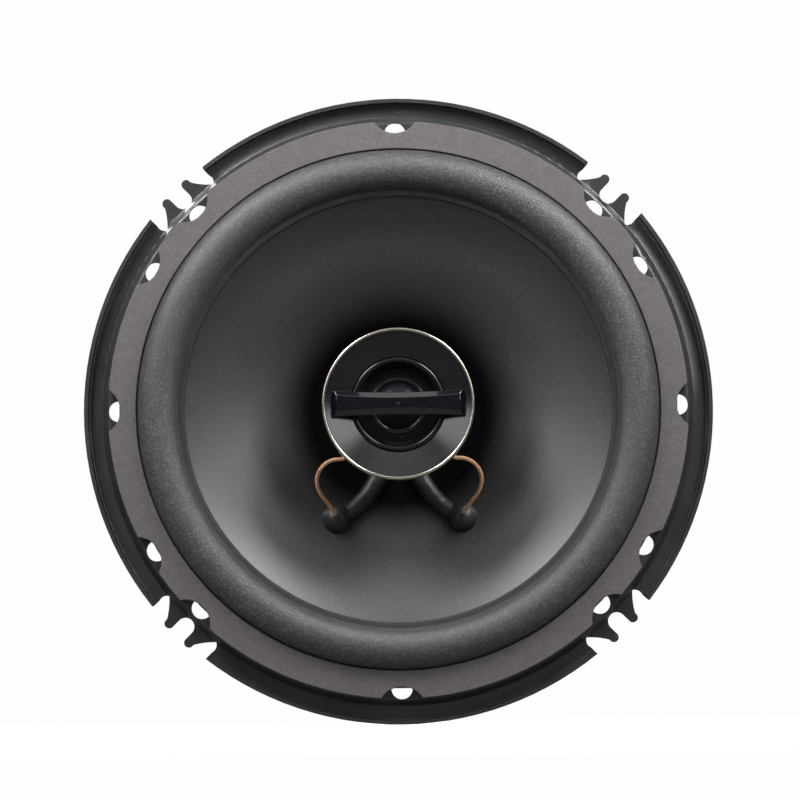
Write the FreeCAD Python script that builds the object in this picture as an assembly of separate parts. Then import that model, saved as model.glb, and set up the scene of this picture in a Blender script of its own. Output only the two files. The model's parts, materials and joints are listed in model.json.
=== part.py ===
import FreeCAD, Part
import math
import os

# Coaxial car loudspeaker, nominal 6.5 inch, in millimetres.
# The axis lies along Y: the cone faces -Y and the magnet is at +Y, with Z up.
# The origin is on the axis, in the plane of the flange's rear face.

V = FreeCAD.Vector
AXIS = V(0, 1, 0)
ORIGIN = V(0, 0, 0)

# Basket
FLANGE_R = 82.5
SHEET = 1.0
LIP_Y = -3.2
SEAT_Y = -3.0
SPIGOT_R = 69.5
LEDGE_Y = 20.5
FLOOR_Y = 30.0
SLOT_ANGLES = (45, 135, 225, 315)
SLOT_R = 79.7
SLOT_HALF_WIDTH = 2.35
TOOTH_HALF_WIDTH = 1.25
TOOTH_TIP_R = 83.3
LIP_GAP_HALF_WIDTH = 9.8
HOLE_ANGLES = (0, 30, 45, 90, 135, 150, 180, 210, 225, 270, 315, 330)
HOLE_CENTRE_R = 73.2
HOLE_R = 2.75
HOLE_CHORD_R = 73.1
WINDOW_IN_R = 47.0
WINDOW_OUT_R = 65.0
SPOKE_WIDTH = 16.0
WINDOW_CORNER_R = 3.5

# Gasket and surround
GASKET_IN_R = 68.6
GASKET_OUT_R = 75.9
GASKET_FRONT_Y = -6.0
NOTCH_R = 6.4
NOTCH_BOTTOM_R = 72.75
LIP_THICK = 0.6
SURROUND_OUT_R = 71.5
ROLL_OUT_R = 68.4
ROLL_IN_R = 57.9
ROLL_CREST_Y = -9.4

# Cone, voice coil and spider
CONE_EDGE = V(57.0, -3.6, 0)
CONE_NECK = V(14.2, 14.9, 0)
CONE_BOW = 1.6
CONE_THICK = 0.7
COIL_IN_R = 12.7
FORMER_OUT_R = 12.85
WINDING_OUT_R = 13.35
FORMER_FRONT_Y = 12.6
FORMER_REAR_Y = 37.5
WINDING_FRONT_Y = 28.0
WINDING_REAR_Y = 37.0
SPIDER_THICK = 0.5
BODY_GAP = 0.3

# Motor
POLE_R = 12.2
POLE_FRONT_Y = 29.0
GAP_BORE_R = 13.8
PLATE_R = 37.0
PLATE_THICK = 5.0
MAGNET_R = 40.0
MAGNET_BORE_R = 20.0
MAGNET_THICK = 15.0
BOOT_WALL = 1.8
RIVET_COUNT = 6
RIVET_CIRCLE_R = 25.0
RIVET_R = 2.0
SCREW_R = 2.0
SCREW_HOLE_R = 2.1

# Tweeter
TWEETER_R = 19.75
FACE_R = 18.9
FACE_RIM_Y = -15.6
DISH_IN_R = 12.5
DISH_IN_Y = -13.3
BASE_REAR_Y = -1.5
YOKE_R = 8.5
YOKE_FRONT_Y = -8.2
YOKE_REAR_Y = -3.0
DOME_R = 6.1
DOME_EDGE_Y = -9.9
DOME_CREST_Y = -12.3
BRIDGE_HALF_LENGTH = 16.7
BRIDGE_END_HALF = 3.35
BRIDGE_WAIST_HALF = 2.9
BRIDGE_CROWN = (0.7, 1.1, 1.6)
BRIDGE_CROWN_DEPTH = 0.8
BRIDGE_FRONT_Y = -17.0

# Leads: the left one is the mirror of the right one.
COPPER_R = 0.55
COPPER_ROUTE = [
    V(10.9, -5.6, -10.9),
    V(13.9, -5.4, -13.5),
    V(17.6, -4.9, -13.3),
    V(20.7, -3.8, -15.5),
    V(21.9, -2.0, -18.7),
    V(20.8, 0.2, -22.1),
    V(18.4, 2.4, -24.8),
    V(17.0, 5.2, -27.2),
]
REAR_LEAD_ROUTE = [
    V(16.6, 10.4, -28.4),
    V(16.8, 12.6, -29.6),
    V(16.9, 14.2, -32.6),
    V(16.6, 14.2, -36.4),
    V(16.1, 13.3, -40.5),
    V(15.5, 12.3, -44.7),
    V(14.8, 12.0, -48.9),
    V(14.3, 12.6, -53.0),
    V(14.0, 13.9, -56.4),
]
GLUE_POINT = V(16.6, 0, -28.4)
GLUE_BLOB_R = 3.9
GLUE_LEG_R = 2.1
GLUE_LEG = [(16.6, -28.4), (12.6, -26.3), (8.6, -22.0), (5.9, -17.6), (4.6, -14.9)]

# Terminal board, in its own frame on the lower spoke's rear face:
# X across, Y outwards along the spoke, Z off the face.
BOARD_HALF_WIDTH = 21.0
BOARD_HALF_HEIGHT = 8.0
BOARD_THICK = 1.6
BLADE_X = 14.0
BLADE_THICK = 0.8
BLADE_HEIGHT = 9.5
BOARD_RIVET_X = 5.0
SPOKE_CURVE = 0.2
BOARD_RIVET_Y = 4.5

# Rear face of the basket's sloping part, as radius and depth
SPOKE_TOP = V(SPIGOT_R, 10.2, 0)
SPOKE_BOTTOM = V(44.5, LEDGE_Y, 0)
OUT = "parts"


def cylinder(radius, front, rear):
    return Part.makeCylinder(radius, rear - front, V(0, front, 0), AXIS)


def ring(inner, outer, front, rear):
    return cylinder(outer, front, rear).cut(cylinder(inner, front - 1, rear + 1))


def rounded_edges(points, radii):
    edges = []
    start = points[0]
    for before, corner, after, radius in zip(points, points[1:], points[2:], radii):
        into = (corner - before).normalize()
        away = (after - corner).normalize()
        turn = into.getAngle(away)
        reach = radius * math.tan(turn / 2)
        inward = (away - into).normalize()
        middle = corner + inward * (radius / math.cos(turn / 2) - radius)
        entry = corner - into * reach
        leave = corner + away * reach
        edges.append(Part.LineSegment(start, entry).toShape())
        edges.append(Part.Arc(entry, middle, leave).toShape())
        start = leave
    edges.append(Part.LineSegment(start, points[-1]).toShape())
    return edges


def turned_face(edges):
    return Part.Face(Part.Wire(edges)).revolve(ORIGIN, AXIS, 360)


def turned(outline):
    points = [V(r, y, 0) for r, y in outline]
    return turned_face(Part.makePolygon(points + points[:1]).Edges)


def turned_sheet(edges, thick):
    strip = Part.Wire(edges).makeOffset2D(thick, 0, True, True)
    return strip.revolve(ORIGIN, AXIS, 360)


def tube(points, radius, label):
    radii = []
    for before, corner, after in zip(points, points[1:], points[2:]):
        turn = (corner - before).getAngle(after - corner)
        run = min(corner.distanceToPoint(before), after.distanceToPoint(corner))
        radii.append(0.45 * run / math.tan(turn / 2))
    path = Part.Wire(rounded_edges(points, radii))
    section = Part.Circle(points[0], points[1] - points[0], radius).toShape()
    solid = path.makePipeShell([Part.Wire([section])], True, False)
    ideal = math.pi * radius ** 2 * path.Length
    print(label, "radii", [round(r, 1) for r in radii], "volume ratio", round(solid.Volume / ideal, 3))
    return solid


def around(shape, count, start=0.0):
    return [shape.rotated(ORIGIN, AXIS, start + n * 360.0 / count) for n in range(count)]


def mirrored(shape):
    return shape.mirror(ORIGIN, V(1, 0, 0))


def at_angle(radius, degrees):
    turn = math.radians(degrees)
    return V(radius * math.cos(turn), 0, radius * math.sin(turn))


def save(node, shape):
    shape.exportStep(os.path.join(OUT, node + ".step"))


def teeth():
    """The two round-tipped teeth beside the centre slot, for a tab whose middle is at +Z."""
    root = 79.6
    middle = SLOT_HALF_WIDTH + TOOTH_HALF_WIDTH
    crown = TOOTH_TIP_R - TOOTH_HALF_WIDTH
    stem = Part.makeBox(2 * TOOTH_HALF_WIDTH, SHEET, crown - root, V(SLOT_HALF_WIDTH, -SHEET, root))
    tip = Part.makeCylinder(TOOTH_HALF_WIDTH, SHEET, V(middle, -SHEET, crown), AXIS)
    tooth = stem.fuse(tip).removeSplitter()
    return [tooth, mirrored(tooth)]


def slot_tools():
    """Centre slot and the two slanted notches beside it, for a tab whose middle is at +Z."""
    depth = 6.0
    front = -5.0
    across = V(0, front, SLOT_R)
    centre = Part.makeCylinder(SLOT_HALF_WIDTH, depth, across, AXIS)
    mouth = Part.makeBox(2 * SLOT_HALF_WIDTH, depth, 6, V(-SLOT_HALF_WIDTH, front, SLOT_R))
    tip, foot, end = V(4.85, front, 81.6), V(8.6, front, 76.95), V(9.65, front, 79.6)
    beyond = V(LIP_GAP_HALF_WIDTH, front, 85)
    edges = [
        Part.LineSegment(V(4.6, front, 85), tip).toShape(),
        Part.Arc(tip, V(6.85, front, 78.75), foot).toShape(),
        Part.Arc(foot, V(9.45, front, 77.7), end).toShape(),
        Part.LineSegment(end, beyond).toShape(),
        Part.LineSegment(beyond, V(4.6, front, 85)).toShape(),
    ]
    side = Part.Face(Part.Wire(edges)).extrude(V(0, depth, 0))
    over = Part.makeBox(2 * LIP_GAP_HALF_WIDTH, 4, 8, V(-LIP_GAP_HALF_WIDTH, -SHEET - 4, 79.5))
    return [centre, mouth, side, mirrored(side), over]


def window_tool():
    blank = ring(WINDOW_IN_R, WINDOW_OUT_R, 7, 24)
    for turn in (0, 90):
        bar = Part.makeBox(SPOKE_WIDTH, 30, 160, V(-SPOKE_WIDTH / 2, 0, -80))
        blank = blank.cut(bar.rotated(ORIGIN, AXIS, turn))
    corners = [
        e for e in blank.Edges
        if isinstance(e.Curve, Part.Line) and abs(e.tangentAt(e.FirstParameter).y) > 0.99
    ]
    return blank.makeFillet(WINDOW_CORNER_R, corners)


def board_frame():
    """Places a shape drawn in the terminal board's frame on the lower spoke."""
    slope = SPOKE_TOP - SPOKE_BOTTOM
    middle = (SPOKE_TOP + SPOKE_BOTTOM) * 0.5
    tilt = -90.0 - math.degrees(math.atan2(-slope.y, slope.x))
    return FreeCAD.Placement(V(0, middle.y, -middle.x), FreeCAD.Rotation(V(1, 0, 0), tilt))


def on_board(shape):
    return shape.transformed(board_frame().toMatrix())


def board_rivet(radius, grow=0.0):
    bottom = -SHEET - SPOKE_CURVE
    shank = Part.makeCylinder(radius + grow, BOARD_THICK - bottom, V(0, 0, bottom))
    if grow:
        return shank
    head = Part.makeCylinder(2.4, 0.8, V(0, 0, BOARD_THICK))
    foot = Part.makeCylinder(2.4, 0.8, V(0, 0, bottom - 0.8))
    return shank.fuse([head.makeFillet(0.5, [head.Edges[0]]), foot]).removeSplitter()


def board_rivet_places():
    return [V(x, BOARD_RIVET_Y, 0) for x in (-BOARD_RIVET_X, BOARD_RIVET_X)]


def make_basket():
    outline = [
        V(FLANGE_R, LIP_Y, 0), V(FLANGE_R, 0, 0), V(77.0, 0, 0), V(75.6, SEAT_Y, 0),
        V(SPIGOT_R, SEAT_Y, 0), SPOKE_TOP, SPOKE_BOTTOM,
        V(35.0, LEDGE_Y, 0), V(33.0, FLOOR_Y, 0), V(15.5, FLOOR_Y, 0),
    ]
    radii = [1.6, 1.4, 0.2, 0.6, 2.2, 3.0, 1.2, 2.0]
    body = turned_sheet(rounded_edges(outline, radii), -SHEET)
    body = body.fuse([tooth.rotated(ORIGIN, AXIS, turn) for turn in SLOT_ANGLES for tooth in teeth()])
    cuts = [window_tool()]
    for turn in SLOT_ANGLES:
        cuts += [tool.rotated(ORIGIN, AXIS, turn) for tool in slot_tools()]
    inside = cylinder(HOLE_CHORD_R, -8, 2)
    for degrees in HOLE_ANGLES:
        hole = Part.makeCylinder(HOLE_R, 5, at_angle(HOLE_CENTRE_R, degrees) + V(0, -6, 0), AXIS)
        cuts.append(hole.cut(inside))
    rivet_hole = Part.makeCylinder(RIVET_R, 4, V(RIVET_CIRCLE_R, FLOOR_Y - 3, 0), AXIS)
    cuts += around(rivet_hole, RIVET_COUNT)
    for place in board_rivet_places():
        cuts.append(on_board(board_rivet(1.5, 0.02).translated(place)))
    return body.cut(cuts)


def make_gasket():
    seat = SEAT_Y - SHEET
    step_r = SURROUND_OUT_R + 0.15
    blank = turned([
        (GASKET_IN_R, GASKET_FRONT_Y), (GASKET_OUT_R, GASKET_FRONT_Y), (GASKET_OUT_R, seat),
        (step_r, seat), (step_r, seat - LIP_THICK), (GASKET_IN_R, seat - LIP_THICK),
    ])
    notches = [
        Part.makeCylinder(NOTCH_R, 6, at_angle(NOTCH_BOTTOM_R + NOTCH_R, a) + V(0, -8, 0), AXIS)
        for a in HOLE_ANGLES
    ]
    return blank.cut(notches)


def make_surround():
    rear = SEAT_Y - SHEET
    crest = V((ROLL_OUT_R + ROLL_IN_R) / 2, ROLL_CREST_Y + LIP_THICK, 0)
    roll_in = V(ROLL_IN_R + LIP_THICK, rear, 0)
    roll_out = V(ROLL_OUT_R - LIP_THICK, rear, 0)
    edges = [
        Part.LineSegment(V(56.4, rear, 0), roll_in).toShape(),
        Part.Arc(roll_in, crest, roll_out).toShape(),
        Part.LineSegment(roll_out, V(SURROUND_OUT_R, rear, 0)).toShape(),
    ]
    return turned_sheet(edges, LIP_THICK)


def cone_arc():
    chord = CONE_NECK - CONE_EDGE
    bow = V(chord.y, -chord.x, 0).normalize() * CONE_BOW
    return Part.Arc(CONE_EDGE, (CONE_EDGE + CONE_NECK) * 0.5 + bow, CONE_NECK)


def cone_front_y(radius):
    plane = Part.LineSegment(V(radius, -20, 0), V(radius, 40, 0)).toShape()
    return plane.distToShape(cone_arc().toShape())[1][0][0].y


def behind_cone():
    arc = cone_arc()
    low, high = V(CONE_NECK.x, 40, 0), V(CONE_EDGE.x, 40, 0)
    return turned_face([
        arc.toShape(),
        Part.LineSegment(CONE_NECK, low).toShape(),
        Part.LineSegment(low, high).toShape(),
        Part.LineSegment(high, CONE_EDGE).toShape(),
    ])


def eyelets():
    """Two short brass pins through the cone, with a flange on its rear side."""
    x, z = GLUE_POINT.x, GLUE_POINT.z
    surface = cone_front_y(math.hypot(x, z))
    barrel = Part.makeCylinder(1.2, 3.0, V(x, surface - 0.6, z), AXIS)
    flange = Part.makeCylinder(2.0, 0.5, V(x, surface + CONE_THICK + 0.7, z), AXIS)
    one = barrel.fuse(flange).removeSplitter()
    return [one, mirrored(one)]


def make_cone():
    neck_r = FORMER_OUT_R + 0.02
    edges = [
        cone_arc().toShape(),
        Part.LineSegment(CONE_NECK, V(neck_r, 16.2, 0)).toShape(),
        Part.LineSegment(V(neck_r, 16.2, 0), V(neck_r, 17.8, 0)).toShape(),
    ]
    return turned_sheet(edges, CONE_THICK).cut(eyelets())


def make_neck_glue():
    inner = FORMER_OUT_R + 0.02
    bead = turned([(inner, 13.2), (inner, 16.2), (CONE_NECK.x, CONE_NECK.y), (15.6, 14.6), (13.8, 13.2)])
    return bead.cut(behind_cone())


def make_lead_glue(neck_glue, copper_lead):
    leg = []
    for x, z in GLUE_LEG:
        leg.append(V(x, cone_front_y(math.hypot(x, z)) - 0.4, z))
    legs = tube(leg, GLUE_LEG_R, "glue leg")
    blob = Part.makeSphere(GLUE_BLOB_R, V(leg[0].x, leg[0].y + 0.9, leg[0].z))
    whole = legs.fuse(blob).cut(behind_cone())
    return whole.cut([neck_glue, copper_lead] + eyelets()[:1])


def make_spider():
    flat_in, flat_out = 15.5, 33.4
    level = LEDGE_Y - SHEET
    waves = 6
    pitch = (flat_out - flat_in) / waves
    start = V(FORMER_OUT_R + BODY_GAP, level, 0)
    edges = [Part.LineSegment(start, V(flat_in, level, 0)).toShape()]
    for n in range(waves):
        a, b = flat_in + n * pitch, flat_in + (n + 1) * pitch
        top = level + (1.0 if n % 2 else -1.0)
        edges.append(Part.Arc(V(a, level, 0), V((a + b) / 2, top, 0), V(b, level, 0)).toShape())
    edges.append(Part.LineSegment(V(flat_out, level, 0), V(43.5, level, 0)).toShape())
    return turned_sheet(edges, SPIDER_THICK)


def make_top_plate():
    plate = ring(GAP_BORE_R, PLATE_R, FLOOR_Y, FLOOR_Y + PLATE_THICK)
    hole = Part.makeCylinder(RIVET_R, 3.5, V(RIVET_CIRCLE_R, FLOOR_Y, 0), AXIS)
    return plate.cut(around(hole, RIVET_COUNT))


def make_back_plate():
    front = FLOOR_Y + PLATE_THICK + MAGNET_THICK
    rear = front + PLATE_THICK
    blank = turned([
        (SCREW_HOLE_R, POLE_FRONT_Y), (POLE_R, POLE_FRONT_Y), (POLE_R, front), (PLATE_R, front),
        (PLATE_R, rear - 1), (PLATE_R - 1, rear), (SCREW_HOLE_R, rear),
    ])
    return blank


def make_magnet_boot():
    rear = FLOOR_Y + 2 * PLATE_THICK + MAGNET_THICK
    inner = MAGNET_R + 0.1
    outer = inner + BOOT_WALL
    step = rear - PLATE_THICK
    return turned([
        (inner, 36.5), (outer, 36.5), (outer, rear - 1.5), (outer - 2.5, rear + 1.6), (15.0, rear + 1.6),
        (14.0, rear), (PLATE_R + 0.2, rear), (PLATE_R + 0.2, step + 0.2), (inner, step + 0.2),
    ])


def make_basket_rivets():
    y = FLOOR_Y - SHEET
    shank = Part.makeCylinder(RIVET_R, 4.4, V(RIVET_CIRCLE_R, y, 0), AXIS)
    head = Part.makeCylinder(3.4, 1.1, V(RIVET_CIRCLE_R, y - 1.1, 0), AXIS)
    head = head.makeFillet(0.6, [min(head.Edges, key=lambda e: e.CenterOfMass.y)])
    return Part.makeCompound(around(shank.fuse(head).removeSplitter(), RIVET_COUNT))


def make_terminal_board():
    half, tall = BOARD_HALF_WIDTH, BOARD_HALF_HEIGHT
    board = Part.makeBox(2 * half, 2 * tall, BOARD_THICK, V(-half, -tall, 0))
    board = board.makeFillet(2.5, [e for e in board.Edges if abs(e.tangentAt(0).z) > 0.9])
    cuts = [board_rivet(1.5, 0.02).translated(p) for p in board_rivet_places()]
    for x in (-BLADE_X, BLADE_X):
        cuts.append(Part.makeCylinder(1.12, 4, V(x, 0, -1)))
    for x in (-9.0, 9.0):
        cuts.append(Part.makeCylinder(0.45, 4, V(x, -3.6, -1)))
    return on_board(board.cut(cuts))


def make_terminal_tab(x, width):
    strip = Part.makeBox(width, 5.6, BLADE_THICK, V(-width / 2, -2, BOARD_THICK))
    blade = Part.makeBox(width, BLADE_THICK, BLADE_HEIGHT, V(-width / 2, 2.8, BOARD_THICK))
    tip = [e for e in blade.Edges if abs(e.CenterOfMass.z - BOARD_THICK - BLADE_HEIGHT) < 0.01]
    ends = [e for e in tip if abs(e.tangentAt(e.FirstParameter).y) > 0.9]
    blade = blade.makeChamfer(1.0, ends)
    blade = blade.cut(Part.makeCylinder(0.8, 4, V(0, 1, BOARD_THICK + 6.2), AXIS))
    shank = Part.makeCylinder(1.1, BOARD_THICK + 0.2, V(0, 0, -0.1))
    lug = Part.makeCylinder(2.4, 0.6, V(0, 0, -0.6))
    tab = strip.fuse([blade, shank, lug]).removeSplitter()
    return on_board(tab.translated(V(x, 0, 0)))


def make_board_rivets():
    return Part.makeCompound([
        on_board(board_rivet(1.5).translated(p)) for p in board_rivet_places()
    ])


def make_capacitor():
    radius, half = 3.4, 6.0
    can = Part.makeCylinder(radius, 2 * half, V(-half, -3.6, BOARD_THICK + radius), V(1, 0, 0))
    can = can.makeFillet(0.7, [e for e in can.Edges if isinstance(e.Curve, Part.Circle)])
    return on_board(can)


def make_capacitor_leads():
    level = BOARD_THICK + 3.4
    wires = []
    for side in (-1, 1):
        points = [V(side * 6.0, -3.6, level), V(side * 9.0, -3.6, level), V(side * 9.0, -3.6, -0.6)]
        path = Part.Wire(rounded_edges(points, [1.4]))
        section = Part.Circle(points[0], V(1, 0, 0), 0.35).toShape()
        wires.append(on_board(path.makePipeShell([Part.Wire([section])], True, False)))
    return Part.makeCompound(wires)


def make_tweeter_post():
    rear = POLE_FRONT_Y
    blank = turned([
        (0, BASE_REAR_Y - 1.4), (1.9, BASE_REAR_Y - 1.4), (1.9, BASE_REAR_Y), (6.0, BASE_REAR_Y),
        (4.6, 2.0), (4.6, 24.0), (9.0, 26.5), (9.0, rear), (0, rear),
    ])
    return blank.cut(cylinder(SCREW_R, 20, rear + 1))


def make_post_screw():
    rear = FLOOR_Y + 2 * PLATE_THICK + MAGNET_THICK
    shank = cylinder(SCREW_R, 21, rear + 0.8)
    head = cylinder(3.9, rear + 0.7, rear + 3.0)
    head = head.makeFillet(0.9, [max(head.Edges, key=lambda e: e.CenterOfMass.y)])
    cross = [
        Part.makeBox(4.6, 1.6, 0.9, V(-2.3, rear + 1.6, -0.45)),
        Part.makeBox(0.9, 1.6, 4.6, V(-0.45, rear + 1.6, -2.3)),
    ]
    return shank.fuse(head).removeSplitter().cut(cross)


def make_post_washer():
    rear = FLOOR_Y + 2 * PLATE_THICK + MAGNET_THICK
    return ring(SCREW_HOLE_R, 6.0, rear, rear + 0.7)


def make_tweeter_base():
    cup = turned([
        (1.95, BASE_REAR_Y), (13.0, BASE_REAR_Y), (18.6, -7.0), (18.6, -8.9), (17.0, -8.9),
        (17.0, -7.6), (12.4, YOKE_REAR_Y - 0.2), (10.2, YOKE_REAR_Y - 0.2), (10.2, -6.2),
        (YOKE_R + 0.05, -6.2), (YOKE_R + 0.05, YOKE_REAR_Y), (1.95, YOKE_REAR_Y),
    ])
    start, heading = COPPER_ROUTE[0], COPPER_ROUTE[1] - COPPER_ROUTE[0]
    backed = start - heading.normalize() * 2
    exit_hole = Part.makeCylinder(COPPER_R + BODY_GAP, 6, backed, heading)
    return cup.cut([exit_hole, mirrored(exit_hole)])


def make_tweeter_yoke():
    cup = cylinder(YOKE_R, YOKE_FRONT_Y, YOKE_REAR_Y)
    return cup.cut(cylinder(6.4, YOKE_FRONT_Y - 1, -4.2))


def make_tweeter_face():
    outline = [
        V(FACE_R, FACE_RIM_Y, 0), V(DISH_IN_R, DISH_IN_Y, 0), V(12.15, -12.8, 0),
        V(11.0, -13.1, 0), V(9.6, -10.1, 0), V(8.3, -10.1, 0), V(8.3, -9.95, 0), V(10.2, -9.95, 0),
        V(12.0, -11.9, 0), V(17.4, -13.8, 0), V(17.4, -8.95, 0), V(FACE_R, -8.95, 0),
    ]
    edges = []
    for n, start in enumerate(outline):
        end = outline[(n + 1) % len(outline)]
        if n == 2:
            edges.append(Part.Arc(start, V(11.7, -13.75, 0), end).toShape())
        else:
            edges.append(Part.LineSegment(start, end).toShape())
    return turned_face(edges)


def make_tweeter_trim():
    inner, outer = FACE_R + 0.02, TWEETER_R
    front = FACE_RIM_Y - 0.5
    edges = [
        Part.LineSegment(V(inner, -12.8, 0), V(outer, -12.8, 0)).toShape(),
        Part.LineSegment(V(outer, -12.8, 0), V(outer, FACE_RIM_Y, 0)).toShape(),
        Part.Arc(V(outer, FACE_RIM_Y, 0), V((inner + outer) / 2, front, 0), V(inner, FACE_RIM_Y, 0)).toShape(),
        Part.LineSegment(V(inner, FACE_RIM_Y, 0), V(inner, -12.8, 0)).toShape(),
    ]
    return turned_face(edges)


def bridge_outline(y, long_, end, waist):
    """Waisted outline of the bridge at that depth."""
    edges = []
    for side in (1, -1):
        edges.append(Part.Arc(
            V(-side * long_, y, side * end), V(0, y, side * waist), V(side * long_, y, side * end)
        ).toShape())
        edges.append(Part.LineSegment(
            V(side * long_, y, side * end), V(side * long_, y, -side * end)
        ).toShape())
    return Part.Wire(edges)


def make_tweeter_bridge(face):
    y = BRIDGE_FRONT_Y
    shoulder = y + BRIDGE_CROWN_DEPTH
    full = (BRIDGE_HALF_LENGTH, BRIDGE_END_HALF, BRIDGE_WAIST_HALF)
    small = [size - inset for size, inset in zip(full, BRIDGE_CROWN)]
    crown = Part.makeLoft([bridge_outline(y, *small), bridge_outline(shoulder, *full)], True, True)
    plan = Part.Face(bridge_outline(shoulder, *full))
    bar = crown.fuse(plan.extrude(V(0, 1.0, 0)))
    feet = plan.extrude(V(0, 2.1, 0)).cut(Part.makeBox(26, 10, 12, V(-13, y, -6)))
    bar = bar.fuse(feet).removeSplitter()
    dimple = Part.makeCylinder(0.45, 0.6, V(0, y, 0), AXIS)
    return bar.cut([face, dimple])


def make_tweeter_dome():
    edge = V(DOME_R, DOME_EDGE_Y, 0)
    crest = V(0, DOME_CREST_Y, 0)
    sag = DOME_EDGE_Y - DOME_CREST_Y
    radius = (DOME_R ** 2 + sag ** 2) / (2 * sag)
    centre_y = DOME_CREST_Y + radius
    half = DOME_R / 2
    middle = V(half, centre_y - math.sqrt(radius ** 2 - half ** 2), 0)
    thick = 0.2
    inner_radius = radius - thick
    inner_edge = V(DOME_R - thick, centre_y - math.sqrt(inner_radius ** 2 - (DOME_R - thick) ** 2), 0)
    inner_middle = V(half, centre_y - math.sqrt(inner_radius ** 2 - half ** 2), 0)
    inner_crest = V(0, DOME_CREST_Y + thick, 0)
    return turned_face([
        Part.Arc(edge, middle, crest).toShape(),
        Part.LineSegment(crest, inner_crest).toShape(),
        Part.Arc(inner_crest, inner_middle, inner_edge).toShape(),
        Part.LineSegment(inner_edge, edge).toShape(),
    ])


def make_tweeter_suspension():
    level = -9.75
    edges = [
        Part.Arc(V(DOME_R + 0.4, level, 0), V(7.05, -10.3, 0), V(7.6, level, 0)).toShape(),
        Part.LineSegment(V(7.6, level, 0), V(9.4, level, 0)).toShape(),
    ]
    return turned_sheet(edges, 0.15)


def main():
    os.makedirs(OUT, exist_ok=True)
    neck_glue = make_neck_glue()
    face = make_tweeter_face()
    copper_lead = tube(COPPER_ROUTE, COPPER_R, "copper lead")
    rear_lead = tube(REAR_LEAD_ROUTE, COPPER_R, "rear lead")
    lead_glue = make_lead_glue(neck_glue, copper_lead)
    magnet_front = FLOOR_Y + PLATE_THICK
    nodes = {
        "basket": make_basket(),
        "front_gasket": make_gasket(),
        "surround": make_surround(),
        "cone": make_cone(),
        "neck_glue": neck_glue,
        "lead_glue_right": lead_glue,
        "lead_glue_left": mirrored(lead_glue),
        "cone_eyelets": Part.makeCompound([e.cut([rear_lead, mirrored(rear_lead)]) for e in eyelets()]),
        "voice_coil_former": ring(COIL_IN_R, FORMER_OUT_R, FORMER_FRONT_Y, FORMER_REAR_Y),
        "voice_coil_winding": ring(FORMER_OUT_R, WINDING_OUT_R, WINDING_FRONT_Y, WINDING_REAR_Y),
        "spider": make_spider(),
        "top_plate": make_top_plate(),
        "ferrite_magnet": ring(MAGNET_BORE_R, MAGNET_R, magnet_front, magnet_front + MAGNET_THICK),
        "back_plate": make_back_plate(),
        "magnet_boot": make_magnet_boot(),
        "basket_rivets": make_basket_rivets(),
        "terminal_board": make_terminal_board(),
        "terminal_tab_wide": make_terminal_tab(BLADE_X, 6.3),
        "terminal_tab_narrow": make_terminal_tab(-BLADE_X, 4.8),
        "board_rivets": make_board_rivets(),
        "capacitor": make_capacitor(),
        "capacitor_leads": make_capacitor_leads(),
        "copper_lead_right": copper_lead,
        "copper_lead_left": mirrored(copper_lead),
        "rear_lead_right": rear_lead,
        "rear_lead_left": mirrored(rear_lead),
        "tweeter_post": make_tweeter_post(),
        "post_screw": make_post_screw(),
        "post_washer": make_post_washer(),
        "tweeter_base": make_tweeter_base(),
        "tweeter_yoke": make_tweeter_yoke(),
        "tweeter_magnet": cylinder(5.0, -6.7, -4.2),
        "tweeter_pole_plate": cylinder(5.1, YOKE_FRONT_Y, -6.7),
        "tweeter_support_ring": ring(7.4, 9.6, -9.75, YOKE_FRONT_Y),
        "tweeter_suspension": make_tweeter_suspension(),
        "tweeter_face": face,
        "tweeter_trim_ring": make_tweeter_trim(),
        "tweeter_bridge": make_tweeter_bridge(face),
        "tweeter_dome": make_tweeter_dome(),
        "tweeter_coil_former": ring(5.5, 5.6, -10.05, -6.2),
        "tweeter_coil_winding": ring(5.6, 5.9, -8.7, -6.4),
    }
    for node, shape in nodes.items():
        solids = len(shape.Solids)
        print(f"{node:22s} solids {solids}  volume {shape.Volume:9.1f}  valid {shape.isValid()}")
        save(node, shape)


main()
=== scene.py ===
"""Coaxial car speaker: soft parts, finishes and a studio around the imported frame."""

import json
import math

import bmesh
import bpy
from mathutils import Matrix, Quaternion, Vector
from mathutils.kdtree import KDTree


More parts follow.
